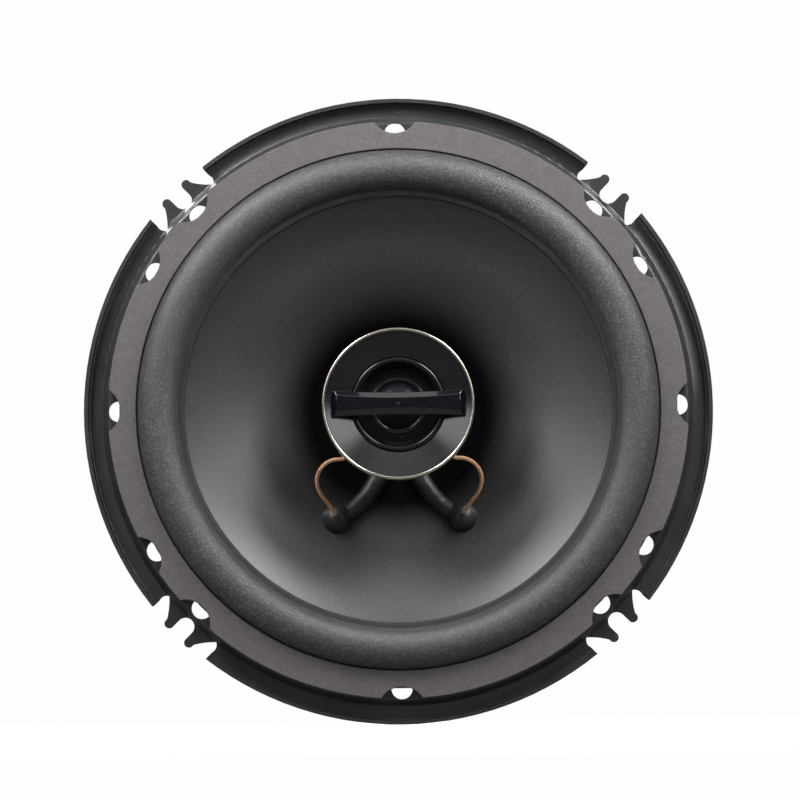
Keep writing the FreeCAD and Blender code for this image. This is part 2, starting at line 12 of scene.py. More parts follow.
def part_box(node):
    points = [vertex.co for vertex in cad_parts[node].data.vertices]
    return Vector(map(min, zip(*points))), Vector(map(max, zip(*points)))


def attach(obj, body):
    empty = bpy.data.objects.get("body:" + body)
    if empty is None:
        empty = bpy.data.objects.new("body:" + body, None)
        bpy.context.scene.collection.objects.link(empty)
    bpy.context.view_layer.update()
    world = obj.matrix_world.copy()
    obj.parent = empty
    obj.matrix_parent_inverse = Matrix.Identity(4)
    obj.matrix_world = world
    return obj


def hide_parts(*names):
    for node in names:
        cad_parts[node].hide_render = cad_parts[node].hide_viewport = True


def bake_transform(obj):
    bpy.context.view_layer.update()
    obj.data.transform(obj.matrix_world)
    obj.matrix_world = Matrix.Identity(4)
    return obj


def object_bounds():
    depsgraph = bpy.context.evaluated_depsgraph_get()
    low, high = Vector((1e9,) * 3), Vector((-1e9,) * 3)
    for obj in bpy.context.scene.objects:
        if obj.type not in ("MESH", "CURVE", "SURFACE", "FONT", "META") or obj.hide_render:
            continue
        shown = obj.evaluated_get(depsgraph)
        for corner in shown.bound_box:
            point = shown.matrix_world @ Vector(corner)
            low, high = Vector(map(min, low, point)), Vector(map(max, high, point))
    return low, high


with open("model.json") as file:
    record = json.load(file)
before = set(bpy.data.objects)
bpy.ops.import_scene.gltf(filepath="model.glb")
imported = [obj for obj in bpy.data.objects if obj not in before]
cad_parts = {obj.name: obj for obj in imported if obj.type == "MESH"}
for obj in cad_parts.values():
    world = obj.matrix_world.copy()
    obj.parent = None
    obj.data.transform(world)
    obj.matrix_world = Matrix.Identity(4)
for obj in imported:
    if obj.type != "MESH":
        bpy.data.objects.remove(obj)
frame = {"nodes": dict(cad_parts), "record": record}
bounds0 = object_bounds()

bl_info = {
    "name": "Coaxial Car Speaker",
    "version": (1, 0, 0),
    "blender": (4, 5, 0),
    "location": "View3D > Sidebar > Speaker",
    "description": "Builds the finishes, soft parts and studio of a coaxial car speaker",
    "category": "Object",
}

MM = 0.001
NODES = frame["nodes"]
FULL_TURN = 2 * math.pi
SHARP_ANGLE = math.radians(32)
BEVEL_ANGLE = math.radians(38)
BRIDGE_ANGLE = math.radians(16)

# Radii that several pieces share
ROLL_OUTER = 68.4 * MM
ROLL_INNER = 57.9 * MM
CONE_LIP = 57.1 * MM
SPIDER_FLAT_INNER = 15.5 * MM
SPIDER_FLAT_OUTER = 33.4 * MM

# The tweeter's dish falls away from its mouth to its rim
DISH_MOUTH = 12.5 * MM
DISH_MOUTH_DEPTH = -13.3 * MM
DISH_SLOPE = 2.3 / 6.4


# ---------------------------------------------------------------- settings

def length(name, description, default):
    return bpy.props.FloatProperty(
        name=name, description=description, default=default, unit="LENGTH", precision=5
    )


def colour(name, description, default):
    return bpy.props.FloatVectorProperty(
        name=name, description=description, default=default, subtype="COLOR",
        size=3, min=0.0, max=1.0,
    )


class SpeakerSizes(bpy.types.PropertyGroup):
    """Sizes of the pieces that are modelled here."""
    roll_thickness: length("Roll thickness", "Wall of the rubber surround", 0.6 * MM)
    roll_height: length("Roll height", "Height of the surround's roll over its lips", 4.8 * MM)
    spider_wave: length("Spider wave", "Half the height of a spider corrugation", 0.95 * MM)
    braid_radius: length("Braid radius", "Outer radius of the braided leads", 0.55 * MM)
    braid_pitch: length("Braid pitch", "Length of one turn of a strand round its lead", 4.8 * MM)
    camera_distance: length("Camera distance", "From the camera to the speaker's centre", 0.8)


class SpeakerColours(bpy.types.PropertyGroup):
    """Colours of the visible finishes."""
    steel: colour("Coated steel", "Black coat of the basket", (0.03, 0.0315, 0.034))
    gasket: colour("Gasket", "Grey fibre of the front gasket", (0.135, 0.122, 0.13))
    rubber: colour("Rubber", "Surround", (0.055, 0.055, 0.054))
    cone: colour("Cone", "Cone sheet", (0.014, 0.014, 0.0145))
    glue: colour("Glue", "Cured adhesive", (0.004, 0.004, 0.0045))
    copper: colour("Copper", "Braided leads", (1.0, 0.56, 0.31))
    trim: colour("Trim", "Tweeter's edge ring", (0.86, 0.78, 0.66))
    spider: colour("Spider", "Resin dipped cloth", (0.42, 0.23, 0.055))


def sizes():
    return bpy.context.scene.speaker_sizes


def colours():
    return bpy.context.scene.speaker_colours


# ---------------------------------------------------------------- shader maths

class Value:
    """A socket in a finish. Arithmetic on it adds Math nodes."""

    def __init__(self, finish, socket):
        self.finish = finish
        self.socket = socket

    def math(self, operation, first, second):
        return self.finish.node("ShaderNodeMath", {"operation": operation}, {0: first, 1: second})

    def __add__(self, other):
        return self.math("ADD", self, other)

    def __sub__(self, other):
        return self.math("SUBTRACT", self, other)

    def __rsub__(self, other):
        return self.math("SUBTRACT", other, self)

    def __mul__(self, other):
        return self.math("MULTIPLY", self, other)

    def __pow__(self, other):
        return self.math("POWER", self, other)

    __radd__ = __add__
    __rmul__ = __mul__

    def above(self, edge):
        return self.math("GREATER_THAN", self, edge)

    def most(self, other):
        return self.math("MAXIMUM", self, other)

    def spread(self, low, high):
        """0 below low, 1 above high, smooth between them."""
        return self.finish.node(
            "ShaderNodeMapRange", {"interpolation_type": "SMOOTHSTEP"},
            {"Value": self, "From Min": low, "From Max": high},
        )

    def wave(self, per_unit):
        return self.finish.node("ShaderNodeMath", {"operation": "SINE"}, {0: self * per_unit})


class Finish:
    """One material: its nodes come from node(), and surface() ends it."""

    def __init__(self, name):
        self.material = bpy.data.materials.new(name)
        self.material.use_nodes = True
        self.tree = self.material.node_tree
        self.shader = self.tree.nodes["Principled BSDF"]
        self.place = self.node("ShaderNodeTexCoord", {}, {}, "Object")

    def node(self, kind, settings, inputs, output=0):
        made = self.tree.nodes.new(kind)
        for key, value in settings.items():
            setattr(made, key, value)
        for key, value in inputs.items():
            self.feed(made.inputs[key], value)
        return Value(self, made.outputs[output])

    def feed(self, socket, value):
        if isinstance(value, Value):
            self.tree.links.new(value.socket, socket)
        elif socket.type == "RGBA" and len(value) == 3:
            socket.default_value = (*value, 1.0)
        else:
            socket.default_value = value

    def noise(self, size, detail=2.0, roughness=0.5, place=None):
        """Noise whose features are about that size, in metres."""
        return self.node(
            "ShaderNodeTexNoise", {},
            {"Vector": place or self.place, "Scale": 1 / size, "Detail": detail, "Roughness": roughness},
        )

    def cells(self, size, output="Distance"):
        return self.node(
            "ShaderNodeTexVoronoi", {}, {"Vector": self.place, "Scale": 1 / size}, output
        )

    def grains(self, size, share):
        """1 on about that share of cells of that size, at random, else 0."""
        tint = self.cells(size, "Color")
        red = self.node("ShaderNodeSeparateColor", {}, {"Color": tint}, "Red")
        return red.above(1 - share)

    def axes(self):
        return [
            self.node("ShaderNodeSeparateXYZ", {}, {"Vector": self.place}, axis) for axis in "XYZ"
        ]

    def radius(self):
        x, _, z = self.axes()
        return (x * x + z * z) ** 0.5

    def turn(self):
        """The angle round the speaker's axis."""
        x, _, z = self.axes()
        return self.node("ShaderNodeMath", {"operation": "ARCTAN2"}, {0: z, 1: x})

    def mix(self, share, first, second):
        made = self.tree.nodes.new("ShaderNodeMix")
        made.data_type = "RGBA"
        for socket, value in zip((made.inputs[0], made.inputs[6], made.inputs[7]), (share, first, second)):
            self.feed(socket, value)
        return Value(self, made.outputs[2])

    def bump(self, height, distance, strength=1.0):
        return self.node(
            "ShaderNodeBump", {}, {"Height": height, "Distance": distance, "Strength": strength}
        )

    def surface(self, **inputs):
        for key, value in inputs.items():
            self.feed(self.shader.inputs[key.replace("_", " ")], value)
        return self.material


def shade(base, factor):
    return tuple(channel * factor for channel in base)


# ---------------------------------------------------------------- finishes

def coated_steel():
    """Black electro-coated pressed steel, with a faint orange peel and dust."""
    f = Finish("coated_steel")
    base = tuple(colours().steel)
    cloud = f.noise(9 * MM, 3)
    peel = f.noise(0.55 * MM, 2)
    dust = f.grains(0.42 * MM, 0.006)
    tint = f.mix(cloud, shade(base, 0.75), shade(base, 1.35))
    return f.surface(
        Base_Color=f.mix(dust * 0.35, tint, (0.16, 0.16, 0.16)),
        Roughness=0.28 + cloud * 0.12 + dust * 0.2,
        Normal=f.bump(peel, 0.012 * MM, 0.6),
        IOR=1.6,
    )


def fibre():
    """Grey pressed fibre: mottled, matt and slightly hairy."""
    f = Finish("gasket_fibre")
    base = tuple(colours().gasket)
    mottle = f.noise(2.6 * MM, 5, 0.65)
    grain = f.noise(0.5 * MM, 4, 0.8)
    pale = f.grains(0.36 * MM, 0.12)
    tint = f.mix(mottle, shade(base, 0.8), shade(base, 1.18))
    return f.surface(
        Base_Color=f.mix(pale * 0.4, tint, shade(base, 1.6)),
        Roughness=0.86 + grain * 0.1,
        Normal=f.bump(grain + mottle * 0.6, 0.12 * MM, 0.7),
        IOR=1.3,
    )


def surround_rubber():
    """Satin black rubber with fine sparkle and streaks round the roll, and painted shade in the crease at
    the roll's inner foot.
    """
    f = Finish("surround_rubber")
    base = tuple(colours().rubber)
    ring = f.node("ShaderNodeCombineXYZ", {}, {"X": f.turn() * 14.0, "Y": f.radius() * 900.0})
    streak = f.node("ShaderNodeTexNoise", {}, {"Vector": ring, "Scale": 1.6, "Detail": 4.0})
    grain = f.noise(0.5 * MM, 4, 0.8)
    spark = f.grains(0.42 * MM, 0.2)
    # Painted shade: the inner lip between the cone's edge and the roll is darkened towards a tenth of the
    # rubber's colour.
    crease_shade = 1 - f.radius().spread(CONE_LIP, ROLL_INNER)
    tint = f.mix(streak, shade(base, 0.6), shade(base, 1.4))
    sparkling = f.mix(spark * 0.4, tint, (0.17, 0.165, 0.155))
    return f.surface(
        Base_Color=f.mix(crease_shade * 0.85, sparkling, shade(base, 0.1)),
        Roughness=0.34 + streak * 0.12,
        Normal=f.bump(grain + spark * 0.8, 0.16 * MM, 1.0),
        IOR=1.62,
    )


def cone_sheet():
    """Satin dark grey moulded cone with mica specks, and painted shade that darkens it and fades its coat
    towards the neck.
    """
    f = Finish("cone_sheet")
    base = tuple(colours().cone)
    cloud = f.noise(7 * MM, 3)
    grain = f.noise(0.55 * MM, 3, 0.75)
    mica = f.grains(0.3 * MM, 0.12)
    tint = f.mix(cloud, shade(base, 0.9), shade(base, 1.12))
    # Painted shade: inside 23 to 34 mm from the axis the colour falls to 0.12 of itself and the coat fades
    # out.
    neck_shade_fade = f.radius().spread(23 * MM, 34 * MM)
    return f.surface(
        Base_Color=f.mix(neck_shade_fade, shade(base, 0.12), f.mix(mica * 0.18, tint, (0.14, 0.14, 0.14))),
        Roughness=0.7 + cloud * 0.1,
        Normal=f.bump(grain, 0.05 * MM, 0.8),
        IOR=1.1,
        Coat_Weight=neck_shade_fade,
        Coat_Roughness=0.4,
        Coat_IOR=1.78,
    )


def cured_glue():
    """Black rubbery glue that has sagged a little as it set."""
    f = Finish("cured_glue")
    base = tuple(colours().glue)
    sag = f.noise(1.6 * MM, 3)
    return f.surface(
        Base_Color=f.mix(sag, base, shade(base, 2.0)),
        Roughness=0.42 + sag * 0.2,
        Normal=f.bump(sag, 0.35 * MM, 0.6),
        Coat_Weight=0.1,
        Coat_Roughness=0.22,
    )


def copper_strands():
    """Bare copper wires, with painted shade where they dip between their neighbours."""
    f = Finish("copper_strands")
    base = tuple(colours().copper)
    tarnish = f.noise(0.7 * MM, 4, 0.6)
    wires = f.noise(0.07 * MM, 2)
    gap_shade_reach = f.node("ShaderNodeAttribute", {"attribute_name": "gap_shade_reach"}, {}, "Fac")
    worn = f.mix(tarnish, shade(base, 0.85), base)
    return f.surface(
        # Painted shade: the colour falls to 0.14 of the copper where a strand sinks towards the lead's
        # centre line.
        Base_Color=f.mix(gap_shade_reach.spread(0.62, 0.9), shade(base, 0.14), worn),
        Roughness=0.26 + tarnish * 0.16,
        Normal=f.bump(wires, 0.02 * MM, 0.6),
    )


def moulding():
    """A moulded black plastic with a fine spark-eroded texture."""
    f = Finish("black_moulding")
    base = (0.012, 0.012, 0.013)
    cloud = f.noise(5 * MM, 3)
    grain = f.noise(0.2 * MM, 3, 0.6)
    dust = f.grains(0.3 * MM, 0.004)
    tint = f.mix(cloud, shade(base, 0.8), shade(base, 1.25))
    return f.surface(
        Base_Color=f.mix(dust * 0.5, tint, (0.14, 0.14, 0.14)),
        Roughness=0.42 + cloud * 0.07,
        Normal=f.bump(grain, 0.02 * MM, 0.5),
        IOR=1.46,
    )


def tweeter_satin():
    """Satin black face, turned in fine rings."""
    f = Finish("tweeter_satin")
    base = (0.0085, 0.0085, 0.01)
    rings = f.noise(0.3 * MM, 2, 0.5, f.node("ShaderNodeCombineXYZ", {}, {"X": f.radius()}))
    cloud = f.noise(3 * MM, 3)
    dust = f.grains(0.16 * MM, 0.0015)
    lip = 1 - f.radius().spread(12.4 * MM, 12.8 * MM)
    tint = f.mix(cloud, shade(base, 0.8), shade(base, 1.3))
    return f.surface(
        Base_Color=f.mix(dust * 0.3, tint, (0.15, 0.15, 0.16)),
        Roughness=0.17 + cloud * 0.05 - lip * 0.1,
        Normal=f.bump(rings, 0.018 * MM, 0.6),
        IOR=1.5,
    )


def piano_black():
    """Polished black plastic with faint smudges, and a dull dimple on the axis."""
    f = Finish("piano_black")
    smudge = f.noise(2.4 * MM, 4, 0.6)
    dimple = 1 - f.radius().spread(0.3 * MM, 0.5 * MM)
    return f.surface(
        Base_Color=f.mix(smudge, (0.004, 0.004, 0.006), (0.009, 0.009, 0.013)),
        Roughness=0.07 + smudge * 0.08 + dimple * 0.7,
        Normal=f.bump(smudge - dimple * 3, 0.02 * MM, 0.25),
        Coat_Weight=0.8 - dimple * 0.8,
        Coat_Roughness=0.04,
    )


def film(name, roughness, ior):
    """Thin dark film of the tweeter's dome and its roll."""
    f = Finish(name)
    cloud = f.noise(1.2 * MM, 3)
    return f.surface(
        Base_Color=f.mix(cloud, (0.008, 0.008, 0.011), (0.018, 0.018, 0.024)),
        Roughness=roughness + cloud * 0.1,
        Normal=f.bump(cloud, 0.02 * MM, 0.3),
        IOR=ior,
    )


def metal(name, base, roughness, scratch_size=0.12 * MM, turned=False):
    """Plated metal with fine scratches, turned round the axis or at random."""
    f = Finish(name)
    cloud = f.noise(4 * MM, 4, 0.6)
    if turned:
        place = f.node("ShaderNodeCombineXYZ", {}, {"X": f.radius(), "Y": f.turn() * 0.0004})
        scratch = f.noise(scratch_size, 3, 0.6, place)
    else:
        scratch = f.noise(scratch_size, 3, 0.6)
    return f.surface(
        Base_Color=f.mix(cloud, shade(base, 0.78), base),
        Metallic=1.0,
        Roughness=roughness + scratch * 0.16,
        Normal=f.bump(scratch, 0.004 * MM, 0.6),
    )


def ferrite_block():
    """Dark sintered ferrite, grainy and slightly pitted."""
    f = Finish("ferrite_block")
    grain = f.noise(0.25 * MM, 4, 0.7)
    pits = f.cells(1.4 * MM)
    return f.surface(
        Base_Color=f.mix(grain, (0.018, 0.018, 0.02), (0.05, 0.05, 0.054)),
        Roughness=0.42 + grain * 0.22,
        Normal=f.bump(grain + pits * 0.3, 0.03 * MM, 0.5),
    )


def boot_rubber():
    """Matt black rubber with a pale bloom in places."""
    f = Finish("boot_rubber")
    cloud = f.noise(8 * MM, 4, 0.6)
    grain = f.noise(0.22 * MM, 3, 0.7)
    bloom = f.noise(2.5 * MM, 5, 0.7).spread(0.52, 0.8)
    tint = f.mix(cloud, (0.012, 0.012, 0.012), (0.024, 0.024, 0.024))
    return f.surface(
        Base_Color=f.mix(bloom * 0.4, tint, (0.06, 0.06, 0.058)),
        Roughness=0.5 + grain * 0.14 + bloom * 0.12,
        Normal=f.bump(grain, 0.03 * MM, 0.5),
    )


def spider_cloth():
    """Woven cotton dipped in amber resin: threads cross along X and Z."""
    f = Finish("spider_cloth")
    base = tuple(colours().spider)
    x, _, z = f.axes()
    threads = FULL_TURN / (0.55 * MM)
    warp = x.wave(threads)
    weft = z.wave(threads)
    over = (warp * weft).spread(-0.5, 0.5)
    weave = warp.most(weft)
    stain = f.noise(6 * MM, 4, 0.6)
    tint = f.mix(stain, shade(base, 0.65), shade(base, 1.15))
    return f.surface(
        Base_Color=f.mix(over * 0.35, tint, shade(base, 0.45)),
        Roughness=0.55 + stain * 0.15,
        Normal=f.bump(weave, 0.07 * MM, 0.7),
    )


def enamelled_winding():
    """Enamelled copper wire, its turns side by side along the axis."""
    f = Finish("enamelled_winding")
    _, y, _ = f.axes()
    turns = y.wave(FULL_TURN / (0.24 * MM))
    tone = f.noise(1.5 * MM, 3)
    return f.surface(
        Base_Color=f.mix(tone, (0.45, 0.14, 0.05), (0.72, 0.3, 0.13)),
        Metallic=0.9,
        Roughness=0.26 + tone * 0.1,
        Normal=f.bump(turns, 0.06 * MM, 0.8),
    )


def laminate():
    """Brown paper laminate with pressed fibres."""
    f = Finish("laminate")
    x, y, z = f.axes()
    long_grain = f.node("ShaderNodeCombineXYZ", {}, {"X": x * 0.25, "Y": y, "Z": z})
    fibres = f.noise(0.5 * MM, 5, 0.7, long_grain)
    return f.surface(
        Base_Color=f.mix(fibres, (0.07, 0.026, 0.01), (0.2, 0.085, 0.03)),
        Roughness=0.38 + fibres * 0.2,
        Normal=f.bump(fibres, 0.015 * MM, 0.4),
    )


def sleeve():
    """Dark shrink sleeve, with a plain pale band along it for polarity."""
    f = Finish("capacitor_sleeve")
    _, y, _ = f.axes()
    cloud = f.noise(3 * MM, 3)
    low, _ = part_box("capacitor")
    band = y.spread(low.y + 5.4 * MM, low.y + 5.6 * MM)
    ink = f.mix(cloud, (0.012, 0.02, 0.05), (0.02, 0.032, 0.075))
    return f.surface(
        Base_Color=f.mix(band * 0.85, ink, (0.35, 0.36, 0.38)),
        Roughness=0.24 + cloud * 0.12,
        Normal=f.bump(cloud, 0.05 * MM, 0.3),
    )


def pale_floor():
    """Pale floor that is white to the eye, but throws only a little light on the object."""
    f = Finish("pale_floor")
    x, y, _ = f.axes()
    away = ((x * x + y * y) ** 0.5).spread(0.1, 0.42)
    grain = f.noise(3 * MM, 2)
    seen = f.node("ShaderNodeLightPath", {}, {}, "Is Camera Ray")
    # Painted light: to the camera the floor glows, weaker near the object so the lamps' shadow shows, full
    # white further away.
    glow = f.mix(away, (0.42, 0.42, 0.425), (1.0, 1.0, 1.0))
    return f.surface(
        Base_Color=f.mix(seen, (0.1, 0.1, 0.1), f.mix(grain, (0.8, 0.8, 0.8), (0.83, 0.83, 0.83))),
        Roughness=0.7,
        Emission_Color=f.mix(seen, (0.02, 0.02, 0.02), glow),
        Emission_Strength=1.0,
    )


# ---------------------------------------------------------------- mesh tools

def piece(name, mesh, finish, stands_for=(), body=None):
    """Puts a finished mesh in the scene as a piece."""
    made = bpy.data.objects.new(name, mesh)
    bpy.context.scene.collection.objects.link(made)
    mesh.materials.clear()
    mesh.materials.append(finish)
    if stands_for:
        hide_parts(*stands_for)
    if body:
        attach(made, body)
    return made


def body_holding(node):
    for body, members in frame["record"]["behaviour"]["bodies"].items():
        if node in members:
            return body
    raise ValueError(f"{node} is on no body")


def smooth_edges(bm, limit=SHARP_ANGLE):
    for edge in bm.edges:
        edge.smooth = len(edge.link_faces) == 2 and edge.calc_face_angle(0) < limit
    for face in bm.faces:
        face.smooth = True


def merged(node):
    """The node's own surface with its loose triangles joined."""
    bm = bmesh.new()
    bm.from_mesh(NODES[node].data)
    bmesh.ops.remove_doubles(bm, verts=bm.verts, dist=0.0005 * MM)
    return bm


def soften_edges(made, width, limit=BEVEL_ANGLE):
    bevel = made.modifiers.new("soft_edges", "BEVEL")
    bevel.width = width
    bevel.segments = 2
    bevel.limit_method = "ANGLE"
    bevel.angle_limit = limit


def refined(node, finish, soften=0.0):
    """A smooth-shaded copy that stands for a CAD node, its edges softened by that width."""
    bm = merged(node)
    smooth_edges(bm)
    mesh = bpy.data.meshes.new(node + "_finished")
    bm.to_mesh(mesh)
    bm.free()
    made = piece(node + "_finished", mesh, finish, [node], body_holding(node))
    if soften:
        soften_edges(made, soften)


def turned_mesh(name, outline, steps):
    """A closed outline of (radius, depth) points in metres, turned round the speaker's axis."""
    bm = bmesh.new()
    corners = [bm.verts.new((r, y, 0)) for r, y in outline]
    loop = [bm.edges.new((a, b)) for a, b in zip(corners, corners[1:] + corners[:1])]
    bmesh.ops.spin(
        bm, geom=corners + loop, cent=(0, 0, 0), axis=(0, 1, 0), dvec=(0, 0, 0),
        angle=FULL_TURN, steps=steps, use_merge=True, use_duplicate=False,
    )
    bmesh.ops.remove_doubles(bm, verts=bm.verts, dist=0.001 * MM)
    bmesh.ops.recalc_face_normals(bm, faces=bm.faces)
    smooth_edges(bm)
    mesh = bpy.data.meshes.new(name)
    bm.to_mesh(mesh)
    bm.free()
    return mesh


def ease(share):
    """Runs from 0 to 1 with a gentle start and end."""
    share = min(max(share, 0.0), 1.0)
    return share * share * (3 - 2 * share)


def flex(made, weight_at):
    """Bakes the piece's placement into its mesh and works out a weight for each point between the frame
    and a moving body; the weights are not applied.
    """
    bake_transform(made)
    weights = [weight_at(v.co) for v in made.data.vertices]


def ring_weight(fixed_radius, moving_radius):
    """Weight of a point by its distance from the axis."""
    return lambda co: ease((fixed_radius - math.hypot(co.x, co.z)) / (fixed_radius - moving_radius))


# ---------------------------------------------------------------- soft rings

def surround_outline():
    """The roll's section: front and rear skins, joined round the two lips."""
    s = sizes()
    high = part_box("surround")[1]
    outer = high.x
    lip_rear = high.y
    lip_front = lip_rear - s.roll_thickness
    centre, half = (ROLL_OUTER + ROLL_INNER) / 2, (ROLL_OUTER - ROLL_INNER) / 2
    foot = 0.35 * MM
    fillet = foot * 0.3
    arc = [math.pi * n / 28 for n in range(1, 28)]
    front = [(outer, lip_front), (ROLL_OUTER + foot, lip_front)]
    front += [
        (centre + half * math.cos(t), lip_front - fillet - (s.roll_height - fillet) * math.sin(t))
        for t in arc
    ]
    front += [
        (ROLL_INNER - foot, lip_front), (56.6 * MM, lip_front + 0.02 * MM),
        (56.25 * MM, lip_front + 0.1 * MM), (56.05 * MM, lip_front + 0.35 * MM),
    ]
    thin = half - s.roll_thickness
    rear = [(56.05 * MM, lip_rear + 0.3 * MM), (ROLL_INNER + s.roll_thickness, lip_rear + 0.05 * MM)]
    rear += [
        (centre - thin * math.cos(t), lip_rear - (s.roll_height - 0.1 * MM) * math.sin(t))
        for t in arc
    ]
    rear += [(ROLL_OUTER - s.roll_thickness, lip_rear), (outer, lip_rear)]
    return front + rear


class SPEAKER_OT_surround(bpy.types.Operator):
    """Rubber surround: a half-round roll between a glued outer lip and the cone's edge"""
    bl_idname = "speaker.surround"
    bl_label = "Surround"

    def execute(self, context):
        mesh = turned_mesh("rubber_surround", surround_outline(), 288)
        made = piece("rubber_surround", mesh, surround_rubber(), ["surround"])
        flex(made, ring_weight(ROLL_OUTER, ROLL_INNER))
        return {"FINISHED"}


class SPEAKER_OT_spider(bpy.types.Operator):
    """Spider: corrugated resin-dipped cloth from the basket's ledge to the voice coil"""
    bl_idname = "speaker.spider"
    bl_label = "Spider"

    def execute(self, context):
        floor_to_ledge = 10.5 * MM
        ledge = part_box("basket")[1].y - floor_to_ledge
        inner, outer = 12.9 * MM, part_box("spider")[1].x
        thick = 0.5 * MM
        points = 120
        flat_ends = 8
        centre_line = []
        for n in range(points + 1):
            r = SPIDER_FLAT_INNER + (SPIDER_FLAT_OUTER - SPIDER_FLAT_INNER) * n / points
            fade = min(1.0, n / flat_ends, (points - n) / flat_ends)
            wave = sizes().spider_wave * fade * math.sin(6 * math.pi * n / points)
            centre_line.append((r, ledge - thick / 2 - wave))
        front = [(inner, ledge - thick)]
        front += [(r, y - thick / 2) for r, y in centre_line]
        front.append((outer, ledge - thick))
        rear = [(outer, ledge)]
        rear += [(r, y + thick / 2) for r, y in reversed(centre_line)]
        rear.append((inner, ledge))
        mesh = turned_mesh("spider_cloth_ring", front + rear, 180)
        made = piece("spider_cloth_ring", mesh, spider_cloth(), ["spider"])
        flex(made, ring_weight(SPIDER_FLAT_OUTER, SPIDER_FLAT_INNER))
        return {"FINISHED"}


class SPEAKER_OT_tweeter_suspension(bpy.types.Operator):
    """Thin roll that carries the tweeter's dome"""
    bl_idname = "speaker.tweeter_suspension"
    bl_label = "Tweeter suspension"

    def execute(self, context):
        seat = -9.75 * MM
        film_thick = 0.12 * MM
        outer = 9.4 * MM
        roll_in, roll_out = 6.15 * MM, 7.6 * MM
        centre, half = (roll_in + roll_out) / 2, (roll_out - roll_in) / 2
        arc = [math.pi * n / 14 for n in range(15)]
        front = [(outer, seat - film_thick)]
        front += [(centre + half * math.cos(t), seat - film_thick - 0.62 * MM * math.sin(t)) for t in arc]
        rear = [(centre - (half - film_thick) * math.cos(t), seat - 0.6 * MM * math.sin(t)) for t in arc]
        mesh = turned_mesh("tweeter_roll", front + rear + [(outer, seat)], 128)
        made = piece("tweeter_roll", mesh, film("roll_film", 0.12, 1.7), ["tweeter_suspension"])
        flex(made, ring_weight(roll_out, roll_in))
        return {"FINISHED"}


# ---------------------------------------------------------------- leads

# Points in millimetres for the right-hand leads; the left ones are their mirror
FRONT_ROUTE = [
    (10.9, -5.6, -10.9), (13.9, -5.4, -13.5), (17.6, -4.9, -13.3), (20.7, -3.8, -15.5),
    (21.9, -2.0, -18.7), (20.8, 0.2, -22.1), (18.4, 2.4, -24.8), (17.0, 5.2, -27.2),
]
REAR_ROUTE = [
    (16.6, 10.4, -28.4), (16.8, 12.6, -29.6), (16.9, 14.2, -32.6), (16.6, 14.2, -36.4),
    (16.1, 13.3, -40.5), (15.5, 12.3, -44.7), (14.8, 12.0, -48.9), (14.3, 12.6, -53.0),
    (14.0, 13.9, -56.4),
]


def spline_line(route):
    """Points along a smooth line that the route's points pull on, in metres."""
    curve = bpy.data.curves.new("route", "CURVE")
    curve.dimensions = "3D"
    curve.resolution_u = 24
    spline = curve.splines.new("NURBS")
    spline.points.add(len(route) - 1)
    for point, place in zip(spline.points, route):
        point.co = (*place, 1.0)
    spline.order_u = 3
    spline.use_endpoint_u = True
    holder = bpy.data.objects.new("route", curve)
    mesh = bpy.data.meshes.new_from_object(holder)
    line = [v.co.copy() for v in mesh.vertices]
    bpy.data.objects.remove(holder)
    bpy.data.meshes.remove(mesh)
    return line


def even_line(line, step):
    """The same line with evenly spaced points."""
    total = sum((b - a).length for a, b in zip(line, line[1:]))
    count = max(2, round(total / step))
    gap = total / count
    points, walked, target = [line[0]], 0.0, gap
    for a, b in zip(line, line[1:]):
        run = (b - a).length
        while run > 0 and walked + run >= target - 1e-12 and len(points) < count:
            points.append(a.lerp(b, (target - walked) / run))
            target += gap
        walked += run
    return points + [line[-1]], total


def point_tree(points):
    tree = KDTree(len(points))
    for n, point in enumerate(points):
        tree.insert(point, n)
    tree.balance()
    return tree


def braid_mesh(name, line, radius, pitch, strands=4):
    """Two sets of strands wound opposite ways over a core, each passing over and under the other."""
    points, total = even_line(line, pitch / (strands * 8))
    curve = bpy.data.curves.new(name, "CURVE")
    curve.dimensions = "3D"
    curve.fill_mode = "FULL"
    curve.use_fill_caps = True
    strand_radius = radius * 0.32
    curve.bevel_depth = strand_radius
    curve.bevel_resolution = 1
    forward = (points[1] - points[0]).normalized()
    side = forward.orthogonal().normalized()
    frames = []
    for n, point in enumerate(points):
        ahead = points[min(n + 1, len(points) - 1)] - points[max(n - 1, 0)]
        ahead.normalize()
        side = (side - ahead * side.dot(ahead)).normalized()
        frames.append((point, side.copy(), ahead.cross(side)))
    for hand in (1, -1):
        for strand in range(strands):
            spline = curve.splines.new("POLY")
            spline.points.add(len(frames) - 1)
            for n, (point, across, up) in enumerate(frames):
                walked = total * n / (len(frames) - 1)
                turn = hand * FULL_TURN * walked / pitch + FULL_TURN * strand / strands
                lift = hand * math.cos(FULL_TURN * strands * walked / pitch)
                reach = radius - strand_radius * (1.5 - 0.5 * lift)
                place = point + (across * math.cos(turn) + up * math.sin(turn)) * reach
                spline.points[n].co = (*place, 1.0)
    core = curve.splines.new("POLY")
    core.points.add(len(frames) - 1)
    for n, (point, _, _) in enumerate(frames):
        core.points[n].co = (*point, 1.0)
        core.points[n].radius = 1.1
    holder = bpy.data.objects.new(name, curve)
    mesh = bpy.data.meshes.new_from_object(holder)
    bpy.data.objects.remove(holder)
    mesh.name = name
    for polygon in mesh.polygons:
        polygon.use_smooth = True
    tree = point_tree(points)
    # Distance from the centre line over the radius; the copper finish turns low values into painted shade.
    gap_shade_reach = mesh.attributes.new("gap_shade_reach", "FLOAT", "POINT")
    gap_shade_reach.data.foreach_set("value", [tree.find(v.co)[2] / radius for v in mesh.vertices])
    return mesh


def along_weight(line, fixed_first):
    """Weight of a point by how far along the line it lies."""
    tree = point_tree(line)

    def weight(co):
        share = tree.find(co)[1] / (len(line) - 1)
        return ease(share if fixed_first else 1 - share)

    return weight


